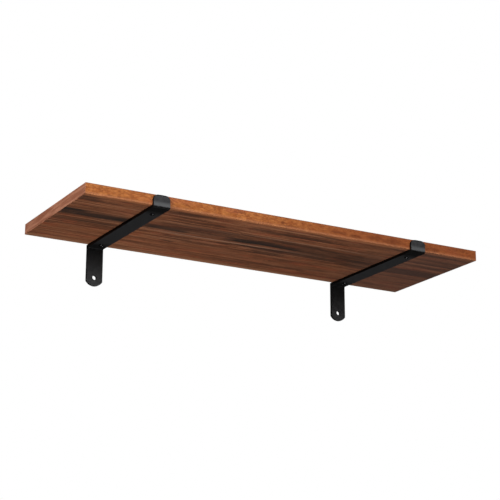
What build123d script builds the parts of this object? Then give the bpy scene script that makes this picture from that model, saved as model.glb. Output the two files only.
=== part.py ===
from build123d import *
import os

# A wall shelf: one solid wood plank on two bent flat-steel brackets, two screws in each.
# Millimetres. +X runs along the shelf, +Y points into the wall and +Z up.
# The origin is on the wall plane, midway between the holes that take the wall screws.

# Plank
board_length = 914.4
board_depth = 304.8
board_thickness = 22.0
board_edge_round = 0.5
wall_gap = 6.0  # from the plank's back edge to the wall

# Bracket, one flat bar bent twice: a leg on the wall, an arm under the plank, a lip in front
bracket_spacing = 600.0  # between the middles of the two brackets
strip_width = 36.0
strip_thickness = 6.0
strip_edge_round = 0.6
front_bend_inner_radius = 1.0  # between the arm and the lip
front_bend_outer_radius = 4.0
rear_bend_inner_radius = 2.0  # between the arm and the leg
rear_bend_outer_radius = 1.2
leg_drop = 87.0  # from the plank's underside to the leg's lowest point
lip_below_top = 1.4  # from the plank's top face down to the lip's highest point
lip_clearance = 0.1  # free play between the lip and the plank's front edge
leg_end_crown = 10.0  # how far the leg's curved end stands out past its corners
lip_end_crown = 1.0
lip_corner_radius = 10.0
wall_hole_diameter = 9.5
wall_hole_height = 18.0  # from the leg's lowest point up to the hole's middle

# Screws that hold the plank down on the arms
thread_diameter = 4.8
thread_root_diameter = 3.4
thread_pitch = 2.0
shank_diameter = 4.6
screw_length = 22.0  # below the head
tip_length = 4.0
head_diameter = 9.6
head_height = 2.8
head_shoulder_round = 2.0  # between the head's flat top and its rim
recess_width = 5.0
recess_slot = 1.2
recess_depth = 1.8
recess_taper = 10.0  # degrees
arm_hole_clearance = 0.35  # all round, between the thread and the arm's hole
pilot_end_clearance = 1.0  # past the screw's point
front_screw_inset = 37.0  # from the plank's front edge
rear_screw_inset = 27.0  # from the leg's front face

# Places that follow from the sizes above
leg_front_y = -strip_thickness
board_back_y = -wall_gap
board_front_y = board_back_y - board_depth
board_middle_y = (board_front_y + board_back_y) / 2
corner_gap = max(front_bend_inner_radius - board_edge_round, 0.0)  # keeps the arris off the bend
lip_back_y = board_front_y - corner_gap - lip_clearance
lip_front_y = lip_back_y - strip_thickness
leg_end_z = -wall_hole_height
board_bottom_z = leg_end_z + leg_drop
board_top_z = board_bottom_z + board_thickness
arm_bottom_z = board_bottom_z - strip_thickness
lip_end_z = board_top_z - lip_below_top
bracket_x = {"left": -bracket_spacing / 2, "right": bracket_spacing / 2}
screw_y = {
    "front": board_front_y + front_screw_inset,
    "rear": leg_front_y - rear_screw_inset,
}


def upright_cylinder(diameter, low_z, high_z):
    """A cylinder on the Z axis between two heights."""
    rod = Cylinder(diameter / 2, high_z - low_z, align=(Align.CENTER, Align.CENTER, Align.MIN))
    return Pos(0, 0, low_z) * rod


def bracket():
    """One bent strip, centred on X = 0: its side outline, cut to the front outline."""
    corners = [
        (0, leg_end_z),
        (0, board_bottom_z),
        (lip_back_y, board_bottom_z),
        (lip_back_y, lip_end_z),
        (lip_front_y, lip_end_z),
        (lip_front_y, arm_bottom_z),
        (leg_front_y, arm_bottom_z),
        (leg_front_y, leg_end_z),
    ]
    radii = [0] * len(corners)
    radii[1] = rear_bend_outer_radius
    radii[2] = front_bend_inner_radius
    radii[5] = front_bend_outer_radius
    radii[6] = rear_bend_inner_radius
    side = Plane.YZ * make_face(FilletPolyline(*corners, radius=radii, close=True))
    strip = extrude(side, amount=strip_width / 2, both=True)

    half = strip_width / 2
    leg_corner_z = leg_end_z + leg_end_crown
    lip_corner_z = lip_end_z - lip_end_crown
    outline = [
        ThreePointArc((-half, leg_corner_z), (0, leg_end_z), (half, leg_corner_z)),
        Line((half, leg_corner_z), (half, lip_corner_z)),
        ThreePointArc((half, lip_corner_z), (0, lip_end_z), (-half, lip_corner_z)),
        Line((-half, lip_corner_z), (-half, leg_corner_z)),
    ]
    front = make_face(outline)
    front = fillet(front.vertices().sort_by(Axis.Y)[-2:], lip_corner_radius)
    depth = abs(lip_front_y) + strip_thickness
    strip &= extrude(Plane.XZ * front, amount=depth, both=True)
    strip = fillet(strip.edges().filter_by(lambda edge: edge.length > strip_edge_round), strip_edge_round)

    strip -= Rot(90, 0, 0) * Cylinder(wall_hole_diameter / 2, 4 * strip_thickness)
    arm_hole = thread_diameter + 2 * arm_hole_clearance
    for y in screw_y.values():
        strip -= Pos(0, y, 0) * upright_cylinder(arm_hole, arm_bottom_z - 1, board_bottom_z + 1)
    return strip


def board():
    """The plank, with its arrises eased and a pilot hole for each screw."""
    plank = Box(board_length, board_depth, board_thickness)
    plank = Pos(0, board_middle_y, (board_bottom_z + board_top_z) / 2) * plank
    plank = fillet(plank.edges(), board_edge_round)
    pilot_end_z = arm_bottom_z + screw_length + pilot_end_clearance
    pilot = upright_cylinder(thread_root_diameter, board_bottom_z - 1, pilot_end_z)
    for x in bracket_x.values():
        for y in screw_y.values():
            plank -= Pos(x, y, 0) * pilot
    return plank


def screw():
    """A pan-head wood screw, point up, with the underside of its head at Z = 0."""
    rim = head_diameter / 2
    corners = [(0, 0), (rim, 0), (rim, -head_height), (0, -head_height)]
    pan = FilletPolyline(*corners, radius=[0, 0, head_shoulder_round, 0], close=True)
    head = revolve(Plane.XZ * make_face(pan), axis=Axis.Z)
    cross = Rectangle(recess_width, recess_slot) + Rectangle(recess_slot, recess_width)
    head -= Pos(0, 0, -head_height) * extrude(cross, amount=recess_depth, taper=recess_taper)

    crest = thread_diameter / 2
    root = thread_root_diameter / 2
    shank = shank_diameter / 2
    tip_z = screw_length - tip_length
    ring_count = round((tip_z - strip_thickness) / thread_pitch)
    ring_height = (tip_z - strip_thickness) / ring_count
    profile = [(0, 0), (shank, 0), (shank, strip_thickness), (root, strip_thickness)]
    for ring in range(ring_count):
        profile.append((crest, strip_thickness + (ring + 0.5) * ring_height))
        profile.append((root, strip_thickness + (ring + 1) * ring_height))
    profile.append((0, screw_length))
    stem = revolve(Plane.XZ * make_face(Polyline(*profile, close=True)), axis=Axis.Z)
    return head + stem


os.makedirs("parts", exist_ok=True)
export_step(board(), "parts/shelf_board.step")
for side, x in bracket_x.items():
    export_step(Pos(x, 0, 0) * bracket(), f"parts/bracket_{side}.step")
    for end, y in screw_y.items():
        export_step(Pos(x, y, arm_bottom_z) * screw(), f"parts/screw_{side}_{end}.step")
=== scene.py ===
import math

import bpy
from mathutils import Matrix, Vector


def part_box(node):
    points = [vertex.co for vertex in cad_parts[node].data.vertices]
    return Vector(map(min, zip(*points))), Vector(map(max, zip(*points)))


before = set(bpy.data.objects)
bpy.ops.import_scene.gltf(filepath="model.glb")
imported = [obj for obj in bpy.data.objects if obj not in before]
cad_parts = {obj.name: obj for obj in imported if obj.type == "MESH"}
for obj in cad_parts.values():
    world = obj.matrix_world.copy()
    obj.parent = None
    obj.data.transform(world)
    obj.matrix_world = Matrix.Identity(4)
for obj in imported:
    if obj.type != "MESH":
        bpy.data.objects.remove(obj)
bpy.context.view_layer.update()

MM = 0.001
BOARD_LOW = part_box("shelf_board")[0]
BRACKETS = ("bracket_left", "bracket_right")
SCREWS = ("screw_left_front", "screw_left_rear", "screw_right_front", "screw_right_rear")

# The camera: metres, degrees and millimetres of lens
CAMERA_PLACE = (-1.5314, -2.8277, -0.8462)
CAMERA_AZIMUTH = 29.58
CAMERA_ELEVATION = 16.49
CAMERA_ROLL = 0.11
CAMERA_LENS = 110.4
CAMERA_SENSOR = 36.0

# The soft lights: name, place, the point it is turned to, width and height, and watts
SOFTBOXES = (
    ("key", (-0.3, -3.1, 0.60), (0.0, -0.2, 0.05), (2.2, 1.2), 77),
    ("left", (-2.4, -1.5, 0.7), (-0.2, -0.2, 0.05), (1.2, 1.2), 76),
    ("low", (1.75, -3.1, -0.45), (0.3, -0.3, 0.05), (0.8, 0.5), 13),
    ("under", (-0.1, -0.4, -2.0), (0.0, -0.2, 0.05), (0.9, 0.6), 20),
    ("top", (0.3, 0.2, 2.6), (0.0, -0.15, 0.0), (3.0, 2.0), 35),
    ("back", (0.9, 3.0, 0.7), (0.0, -0.1, 0.03), (2.0, 1.0), 20),
)


# ---------------------------------------------------------------- camera, stage and light

def direction(azimuth, elevation):
    """The unit vector that looks at an azimuth (0 is +Y, positive towards +X) and an elevation."""
    across = math.cos(elevation)
    return Vector((math.sin(azimuth) * across, math.cos(azimuth) * across, math.sin(elevation)))


def add_camera():
    """A long lens, in front of the shelf, left of it and below it, looking up at its underside."""
    camera = bpy.data.cameras.new("camera")
    camera.sensor_width = CAMERA_SENSOR
    camera.lens = CAMERA_LENS
    camera.clip_end = 100.0
    eye = bpy.data.objects.new("camera", camera)
    look = direction(math.radians(CAMERA_AZIMUTH), math.radians(CAMERA_ELEVATION))
    eye.rotation_euler = look.to_track_quat("-Z", "Y").to_euler()
    eye.rotation_euler.rotate_axis("Z", math.radians(CAMERA_ROLL))
    eye.location = CAMERA_PLACE
    bpy.context.scene.collection.objects.link(eye)
    bpy.context.scene.camera = eye


def add_softbox(name, place, aim, size, watts):
    """A rectangular white area light at place, turned to aim."""
    light = bpy.data.lights.new(name, "AREA")
    light.shape = "RECTANGLE"
    light.size, light.size_y = size
    light.energy = watts
    lamp = bpy.data.objects.new(name, light)
    lamp.location = place
    lamp.rotation_euler = (Vector(aim) - Vector(place)).to_track_quat("-Z", "Y").to_euler()
    lamp.visible_camera = False
    bpy.context.scene.collection.objects.link(lamp)


def add_world(backdrop, fill):
    """A plain white backdrop, which lights the shelf only as strongly as fill."""
    world = bpy.data.worlds.new("studio")
    world.use_nodes = True
    nodes = world.node_tree.nodes
    links = world.node_tree.links
    background = nodes["Background"]
    background.inputs["Color"].default_value = (fill, fill, fill, 1.0)
    white = nodes.new("ShaderNodeBackground")
    white.inputs["Color"].default_value = (backdrop, backdrop, backdrop, 1.0)
    seen = nodes.new("ShaderNodeLightPath")
    mix = nodes.new("ShaderNodeMixShader")
    links.new(seen.outputs["Is Camera Ray"], mix.inputs["Fac"])
    links.new(background.outputs["Background"], mix.inputs[1])
    links.new(white.outputs["Background"], mix.inputs[2])
    links.new(mix.outputs["Shader"], nodes["World Output"].inputs["Surface"])
    bpy.context.scene.world = world


def add_floor(height, side):
    """A pale floor well below the shelf, as evenly bright as the backdrop. It lights nothing."""
    half = side / 2
    mesh = bpy.data.meshes.new("floor")
    corners = [(-half, -half, height), (half, -half, height), (half, half, height), (-half, half, height)]
    mesh.from_pydata(corners, [], [(0, 1, 2, 3)])
    floor = bpy.data.objects.new("floor", mesh)
    floor.visible_diffuse = False
    floor.visible_glossy = False
    bpy.context.scene.collection.objects.link(floor)
    material = bpy.data.materials.new("pale_floor")
    material.use_nodes = True
    shader = material.node_tree.nodes["Principled BSDF"]
    shader.inputs["Base Color"].default_value = (0.0, 0.0, 0.0, 1.0)
    shader.inputs["Specular IOR Level"].default_value = 0.0
    shader.inputs["Emission Color"].default_value = (1.0, 1.0, 1.0, 1.0)
    shader.inputs["Emission Strength"].default_value = 1.0
    mesh.materials.append(material)


# ---------------------------------------------------------------- shader nodes

class Graph:
    """A material's node tree, with short calls that take either numbers or sockets."""

    def __init__(self, name):
        self.material = bpy.data.materials.new(name)
        self.material.use_nodes = True
        self.tree = self.material.node_tree
        self.shader = self.tree.nodes["Principled BSDF"]

    def put(self, socket, value):
        """Links value to the socket if it is a socket, and otherwise sets it."""
        if isinstance(value, bpy.types.NodeSocket):
            self.tree.links.new(value, socket)
        elif isinstance(value, (tuple, list)) and socket.type == "RGBA":
            socket.default_value = (*value, 1.0)
        else:
            socket.default_value = value

    def node(self, kind, settings=None, **inputs):
        """A new node. Input names have _ for a space."""
        made = self.tree.nodes.new("ShaderNode" + kind)
        for key, value in (settings or {}).items():
            setattr(made, key, value)
        for key, value in inputs.items():
            self.put(made.inputs[key.replace("_", " ")], value)
        return made

    def math(self, operation, first, second=0.0, third=0.0, clamp=False):
        made = self.tree.nodes.new("ShaderNodeMath")
        made.operation = operation
        made.use_clamp = clamp
        for socket, value in zip(made.inputs, (first, second, third)):
            self.put(socket, value)
        return made.outputs[0]

    def ramp(self, value, low, high, start=0.0, end=1.0):
        """A smooth step of value, from start at low to end at high."""
        made = self.node("MapRange", {"interpolation_type": "SMOOTHSTEP"}, Value=value)
        names = ("From Min", "From Max", "To Min", "To Max")
        for key, number in zip(names, (low, high, start, end)):
            self.put(made.inputs[key], number)
        return made.outputs[0]

    def point(self, x, y, z):
        return self.node("CombineXYZ", X=x, Y=y, Z=z).outputs[0]

    def noise(self, point, scale, detail=2.0, roughness=0.5):
        made = self.node("TexNoise", Vector=point, Scale=scale, Detail=detail, Roughness=roughness)
        return made.outputs["Fac"]

    def figure(self, point, per_mm, detail=2.0, roughness=0.5):
        """Noise whose grain per millimetre differs along the three axes."""
        made = self.node("Mapping", Vector=point)
        made.inputs["Scale"].default_value = per_mm
        return self.noise(made.outputs[0], 1.0, detail, roughness)

    def grey(self, value):
        return self.point(value, value, value)

    def mix(self, amount, first, second, blend="MIX"):
        """A colour mixed from two."""
        made = self.tree.nodes.new("ShaderNodeMix")
        made.data_type = "RGBA"
        made.blend_type = blend
        self.put(made.inputs["Factor"], amount)
        self.put(made.inputs[6], first)
        self.put(made.inputs[7], second)
        return made.outputs[2]

    def bump(self, height, distance, strength=1.0, normal=None):
        made = self.node("Bump", Height=height, Distance=distance, Strength=strength)
        if normal is not None:
            self.put(made.inputs["Normal"], normal)
        return made.outputs["Normal"]


# ---------------------------------------------------------------- materials

# Dark mineral streaks in the plank's heartwood, in millimetres: how far back from the front edge,
# how wide to each side, from how far along the plank to how far, and how dark, from 0 to 1.
STREAKS = (
    (22, 14, -60, 60, 0.55),
    (27, 8, 175, 270, 0.60),
    (16, 5, 380, 610, 0.50),
    (37, 12, 360, 440, 0.40),
    (60, 6, 200, 330, 0.30),
    (112, 32, -90, 210, 0.45),
    (107, 19, -80, 80, 1.00),
    (121, 15, -60, 100, 0.85),
    (118, 20, -20, 190, 0.95),
    (110, 34, 130, 470, 0.45),
    (101, 11, 250, 400, 0.55),
    (123, 15, 150, 310, 0.90),
    (119, 26, 340, 640, 0.55),
    (122, 15, 320, 600, 1.00),
    (128, 56, 430, 800, 0.55),
    (98, 12, 490, 720, 0.50),
    (151, 6, 350, 590, 0.80),
    (154, 14, 530, 780, 0.60),
    (168, 24, 440, 550, 0.60),
    (52, 9, 750, 980, 0.45),
    (74, 14, 740, 980, 0.50),
    (96, 7, 750, 960, 0.40),
    (150, 26, 730, 980, 0.85),
    (186, 10, 780, 980, 0.35),
    (160, 14, -60, 190, 0.50),
    (201, 4, -20, 30, 0.70),
    (200, 4, 250, 290, 0.70),
    (238, 8, 560, 700, 0.35),
    (262, 6, 380, 520, 0.25),
)

# Pale lines beside them, in the same terms.
PALE_LINES = (
    (143, 4, 150, 660, 0.80),
    (78, 4, 340, 760, 0.55),
    (88, 3, 200, 420, 0.35),
)

# Marks in the plank's front edge, in millimetres: how far along it, how far up from its lower
# arris, how long and how high to each side, and how dark, from 0 to 1.
EDGE_MARKS = (
    (60, 4, 40, 2, 0.40),
    (215, 8, 9, 8, 0.20),
    (331, 16, 14, 4, 0.40),
    (430, 11, 5, 6, 0.60),
    (450, 5, 26, 2.5, 0.35),
    (566, 9, 22, 3, 0.50),
    (603, 7, 18, 4, 0.60),
    (655, 11, 22, 6, 0.42),
    (694, 8, 34, 9, 0.45),
    (798, 8, 20, 7, 0.45),
    (868, 15, 30, 4, 0.30),
)


# The walnut's colours, linear. First the heartwood of the two faces.
HEART_BROWN = (0.205, 0.070, 0.030)
HEART_TAN = (0.275, 0.096, 0.040)
HEART_RED = (0.330, 0.078, 0.032)
BAND_DARK = (0.085, 0.034, 0.018)
BAND_PALE = (0.400, 0.165, 0.080)
THIN_DARK = (0.095, 0.034, 0.017)
THIN_PALE = (0.420, 0.156, 0.074)
NARROW_DARK = (0.065, 0.027, 0.015)
NARROW_PALE = (0.400, 0.180, 0.095)
STREAK_DARK = (0.027, 0.018, 0.014)
LINE_PALE = (0.360, 0.190, 0.120)
FRONT_RIM = (0.420, 0.150, 0.060)
REAR_RIM = (0.380, 0.175, 0.090)
RIGHT_GREY = (0.165, 0.088, 0.068)

# The front edge's colours
EDGE_BROWN = (0.228, 0.062, 0.012)
EDGE_ORANGE = (0.330, 0.112, 0.027)
EDGE_RED = (0.320, 0.090, 0.040)
FLECK_DARK = (0.130, 0.036, 0.010)
FLECK_PALE = (0.430, 0.160, 0.054)
EDGE_STREAK = (0.120, 0.034, 0.012)
EDGE_RIGHT = (0.165, 0.038, 0.011)
EDGE_MARK = (0.080, 0.018, 0.005)
# painted highlight along the lower arris, painted shade along the upper arris
LOWER_ARRIS_HIGHLIGHT = (0.320, 0.135, 0.064)
UPPER_ARRIS_SHADE = (0.150, 0.062, 0.034)

# The end grain's colours, and the pores'
END_DARK = (0.240, 0.088, 0.048)
END_PALE = (0.360, 0.155, 0.092)
END_SPECK = (0.090, 0.036, 0.022)
PORE = (0.020, 0.010, 0.006)

# The brackets' and screws' colours
COAT_DARK = (0.018, 0.018, 0.019)
COAT_PALE = (0.028, 0.028, 0.029)
# painted highlight for the foot of the lip's front face
COAT_LIP_FOOT_HIGHLIGHT = (0.060, 0.062, 0.064)
# black for painted shade on the brackets
COAT_PAINTED_SHADE = (0.001, 0.001, 0.001)
OXIDE_DARK = (0.045, 0.045, 0.048)
OXIDE_PALE = (0.065, 0.065, 0.068)


def places(g):
    """How far along, back and up from the plank's low front left corner, in millimetres; the normal."""
    coordinates = g.node("TexCoord")
    split = g.node("SeparateXYZ", Vector=coordinates.outputs["Object"])
    facing = g.node("SeparateXYZ", Vector=coordinates.outputs["Normal"])
    shifts = (("X", BOARD_LOW.x), ("Y", BOARD_LOW.y), ("Z", BOARD_LOW.z))
    along, back, up = (g.math("MULTIPLY_ADD", split.outputs[axis], 1 / MM, -low / MM) for axis, low in shifts)
    return along, back, up, facing


def streaks(g, lines, along, across):
    """How much of any of these lines there is at a place in the plank, from 0 to 1."""
    most = 0.0
    for centre, half_width, start, end, strength in lines:
        offset = g.math("ABSOLUTE", g.math("SUBTRACT", across, centre))
        line = g.ramp(offset, half_width * 0.4, half_width, strength, 0.0)
        fade = (end - start) * 0.3
        line = g.math("MULTIPLY", line, g.ramp(along, start, start + fade))
        line = g.math("MULTIPLY", line, g.ramp(along, end - fade, end, 1.0, 0.0))
        most = g.math("MAXIMUM", most, line)
    return most


def edge_marks(g, along, up, mottle):
    """How much of any of the front edge's marks there is at a place in it, from 0 to 1."""
    most = 0.0
    ragged = g.math("MULTIPLY_ADD", mottle, 5.0, -2.5)
    for middle, height, half_length, half_height, strength in EDGE_MARKS:
        sideways = g.math("MULTIPLY_ADD", along, 1 / half_length, -middle / half_length)
        upwards = g.math("MULTIPLY_ADD", up, 1 / half_height, -height / half_height)
        reach = g.math("ADD", g.math("POWER", g.math("ABSOLUTE", sideways), 2.0),
                       g.math("POWER", g.math("ABSOLUTE", upwards), 2.0))
        mark = g.ramp(g.math("ADD", reach, ragged), 0.0, 1.3, strength, 0.0)
        most = g.math("MAXIMUM", most, mark)
    return most


def heartwood(g, along, back, across, grain, narrow):
    """The two faces: bands, growth lines, thin lines, then the streaks placed one by one."""
    wide = g.figure(grain, (0.0030, 0.030, 0.030), 3.0, 0.6)
    band = g.figure(grain, (0.0048, 0.085, 0.085), 4.0, 0.65)
    patch = g.figure(grain, (0.011, 0.045, 0.045))
    thin = g.figure(grain, (0.0060, 0.40, 0.40), 3.0, 0.65)
    calm = g.ramp(back, 165.0, 215.0, 1.0, 0.6)

    def calmed(noise, low, high, strength):
        """A share that is less in the plank's plainer rear half."""
        return g.math("MULTIPLY", g.ramp(noise, low, high, 0.0, strength), calm)

    heart = g.mix(g.ramp(wide, 0.40, 0.60), HEART_BROWN, HEART_TAN)
    heart = g.mix(g.ramp(patch, 0.52, 0.64, 0.0, 0.65), heart, HEART_RED)
    heart = g.mix(calmed(band, 0.50, 0.36, 0.80), heart, BAND_DARK)
    heart = g.mix(calmed(band, 0.54, 0.68, 0.75), heart, BAND_PALE)
    heart = g.mix(g.ramp(thin, 0.48, 0.36, 0.0, 0.75), heart, THIN_DARK)
    heart = g.mix(g.ramp(thin, 0.54, 0.66, 0.0, 0.72), heart, THIN_PALE)
    heart = g.mix(calmed(narrow, 0.49, 0.41, 0.85), heart, NARROW_DARK)
    heart = g.mix(calmed(narrow, 0.52, 0.61, 0.70), heart, NARROW_PALE)

    heart = g.mix(streaks(g, PALE_LINES, along, across), heart, LINE_PALE)
    ragged = g.math("ADD", across, g.math("MULTIPLY_ADD", narrow, 16.0, -8.0))
    dark = streaks(g, STREAKS, along, ragged)
    dark = g.math("MULTIPLY", dark, g.ramp(band, 0.35, 0.65, 1.15, 0.80), clamp=True)
    heart = g.mix(dark, heart, STREAK_DARK)

    # paler at the front and rear, greyer to the right; painted light falloff makes it brighter at the left
    # and dimmer to the right
    heart = g.mix(g.ramp(back, 14.0, 3.0, 0.0, 0.80), heart, FRONT_RIM)
    heart = g.mix(g.ramp(back, 282.0, 298.0, 0.0, 0.60), heart, REAR_RIM)
    heart = g.mix(g.ramp(along, 660.0, 800.0, 0.0, 0.42), heart, RIGHT_GREY)
    painted_falloff = g.ramp(along, 380.0, 800.0, 1.20, 0.88)
    return g.mix(1.0, heart, g.grey(painted_falloff), "MULTIPLY")


def front_edge(g, plank, along, up, narrow):
    """Orange, mottled and flecked, browner to the right, with a painted highlight along its lower arris and
    painted shade along its upper arris.
    """
    mottle = g.figure(plank, (0.055, 0.13, 0.13), 5.0, 0.72)
    cloud = g.figure(plank, (0.010, 0.10, 0.03))
    fleck = g.figure(plank, (0.11, 0.55, 0.55), 3.0, 0.6)
    edge = g.mix(g.ramp(mottle, 0.40, 0.60), EDGE_BROWN, EDGE_ORANGE)
    edge = g.mix(g.ramp(cloud, 0.56, 0.70, 0.0, 0.45), edge, EDGE_RED)
    edge = g.mix(g.ramp(fleck, 0.52, 0.36, 0.0, 0.55), edge, FLECK_DARK)
    edge = g.mix(g.ramp(fleck, 0.54, 0.68, 0.0, 0.40), edge, FLECK_PALE)
    edge = g.mix(g.ramp(narrow, 0.44, 0.30, 0.0, 0.7), edge, EDGE_STREAK)
    edge = g.mix(g.ramp(along, 330.0, 680.0, 0.0, 0.70), edge, EDGE_RIGHT)
    edge = g.mix(edge_marks(g, along, up, mottle), edge, EDGE_MARK)
    # painted highlight: paler along the lower arris; painted shade: darker along the upper arris
    edge = g.mix(g.ramp(up, 6.0, 1.5, 0.0, 0.45), edge, LOWER_ARRIS_HIGHLIGHT)
    return g.mix(g.ramp(up, 19.0, 21.8, 0.0, 0.45), edge, UPPER_ARRIS_SHADE)


def end_grain(g, plank):
    """Growth rings cut across, with scattered pores."""
    rings = g.figure(plank, (0.02, 0.012, 0.22), 3.0)
    specks = g.figure(plank, (1.0, 1.6, 1.6))
    ends = g.mix(g.ramp(rings, 0.38, 0.62), END_DARK, END_PALE)
    return g.mix(g.ramp(specks, 0.60, 0.72, 0.0, 0.7), ends, END_SPECK)


def walnut():
    """Oiled dark walnut: streaked heartwood, a more orange front edge and plainer end grain."""
    g = Graph("walnut")
    along, back, up, facing = places(g)
    is_end = g.ramp(g.math("ABSOLUTE", facing.outputs["X"]), 0.5, 0.8)
    is_front = g.ramp(facing.outputs["Y"], -0.8, -0.5, 1.0, 0.0)

    # the grain wanders a few millimetres sideways as it runs along the plank
    plank = g.point(along, back, up)
    wander = g.math("MULTIPLY_ADD", g.figure(plank, (0.0035, 0.010, 0.02)), 12.0, -6.0)
    waver = g.math("MULTIPLY_ADD", g.figure(plank, (0.016, 0.05, 0.05)), 4.0, -2.0)
    wander = g.math("ADD", wander, waver)
    across = g.math("ADD", back, wander)
    grain = g.point(along, across, g.math("ADD", up, wander))
    narrow = g.figure(grain, (0.0030, 0.17, 0.17), 4.0, 0.7)

    heart = heartwood(g, along, back, across, grain, narrow)
    wood = g.mix(is_front, heart, front_edge(g, plank, along, up, narrow))
    wood = g.mix(is_end, wood, end_grain(g, plank))

    # fine fibres, then pores
    fibre = g.figure(grain, (0.05, 1.8, 1.8), 3.0, 0.6)
    wood = g.mix(1.0, wood, g.grey(g.ramp(fibre, 0.25, 0.75, 0.80, 1.18)), "MULTIPLY")
    pores = g.figure(grain, (0.16, 4.5, 4.5), 1.0)
    pore = g.math("MULTIPLY", g.ramp(pores, 0.66, 0.74), g.math("SUBTRACT", 1.0, is_end))
    wood = g.mix(g.math("MULTIPLY", pore, 0.55), wood, PORE)

    g.put(g.shader.inputs["Base Color"], wood)
    g.put(g.shader.inputs["Roughness"], g.ramp(fibre, 0.2, 0.8, 0.66, 0.54))
    g.put(g.shader.inputs["Specular IOR Level"], 0.12)
    relief = g.bump(fibre, 0.00025, 0.5)
    relief = g.bump(pore, -0.0002, 0.6, relief)
    g.put(g.shader.inputs["Normal"], relief)
    return g.material


def powder_coat():
    """Matt black powder coat with a fine texture. Painted shade makes it blackest in the front bend, at the
    top of the leg, on the side faces and on the lip's top; a painted highlight makes the foot of the lip's
    front face paler.
    """
    g = Graph("black_powder_coat")
    back, up, facing = places(g)[1:]
    # painted shade: blacker in the front bend and the arm's front part, at the top of the leg, on the side
    # faces and on the lip's top
    front_bend_shade = g.math("MULTIPLY", g.ramp(back, 45.0, 15.0), g.ramp(up, -2.0, -4.0))
    leg_top_shade = g.math("MULTIPLY", g.ramp(back, 255.8, 285.8, 0.0, 0.8), g.ramp(up, -89.0, -7.0))
    side_face_shade = g.ramp(g.math("ABSOLUTE", facing.outputs["X"]), 0.1, 0.5)
    lip_top_shade = g.math("MAXIMUM", g.ramp(facing.outputs["Z"], 0.1, 0.5), g.ramp(up, 17.8, 19.2))
    lip_top_shade = g.math("MULTIPLY", lip_top_shade, g.ramp(up, 3.0, 11.0))
    painted_shade = g.math("MAXIMUM", front_bend_shade, leg_top_shade)
    painted_shade = g.math("MAXIMUM", painted_shade, g.math("MAXIMUM", side_face_shade, lip_top_shade))

    # painted highlight: the foot of the lip's front face is a little paler
    lip_foot_highlight = g.math("MULTIPLY", g.ramp(back, 0.0, -2.0), g.ramp(up, -3.0, -1.0))
    lip_foot_highlight = g.math("MULTIPLY", lip_foot_highlight, g.ramp(up, 1.0, 9.0, 1.0, 0.0))

    place = g.node("TexCoord").outputs["Object"]
    peel = g.noise(place, 900.0)
    swell = g.noise(place, 110.0, 3.0)
    coat = g.mix(g.ramp(swell, 0.3, 0.7), COAT_DARK, COAT_PALE)
    coat = g.mix(lip_foot_highlight, coat, COAT_LIP_FOOT_HIGHLIGHT)
    # the painted shade mask blackens the coat
    g.put(g.shader.inputs["Base Color"], g.mix(painted_shade, coat, COAT_PAINTED_SHADE))
    g.put(g.shader.inputs["Roughness"], g.ramp(swell, 0.3, 0.7, 0.46, 0.58))
    g.put(g.shader.inputs["Specular IOR Level"], 0.12)
    g.put(g.shader.inputs["Normal"], g.bump(peel, 0.00005, 0.6))
    return g.material


def black_oxide():
    """The screws' thin black finish, darker and smoother than the brackets'."""
    g = Graph("black_oxide")
    place = g.node("TexCoord").outputs["Object"]
    wear = g.noise(place, 900.0, 3.0)
    g.put(g.shader.inputs["Base Color"], g.mix(wear, OXIDE_DARK, OXIDE_PALE))
    g.put(g.shader.inputs["Metallic"], 1.0)
    g.put(g.shader.inputs["Roughness"], g.ramp(wear, 0.3, 0.7, 0.14, 0.22))
    return g.material


def dress(names, material):
    """Gives CAD nodes a material in place of their plain one."""
    for name in names:
        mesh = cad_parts[name].data
        mesh.materials.clear()
        mesh.materials.append(material)


# ---------------------------------------------------------------- the scene

add_camera()
add_world(backdrop=1.0, fill=0.06)
add_floor(height=-4.2, side=12.0)
for softbox in SOFTBOXES:
    add_softbox(*softbox)

dress(["shelf_board"], walnut())
dress(BRACKETS, powder_coat())
dress(SCREWS, black_oxide())

bpy.context.scene.view_settings.view_transform = "Standard"
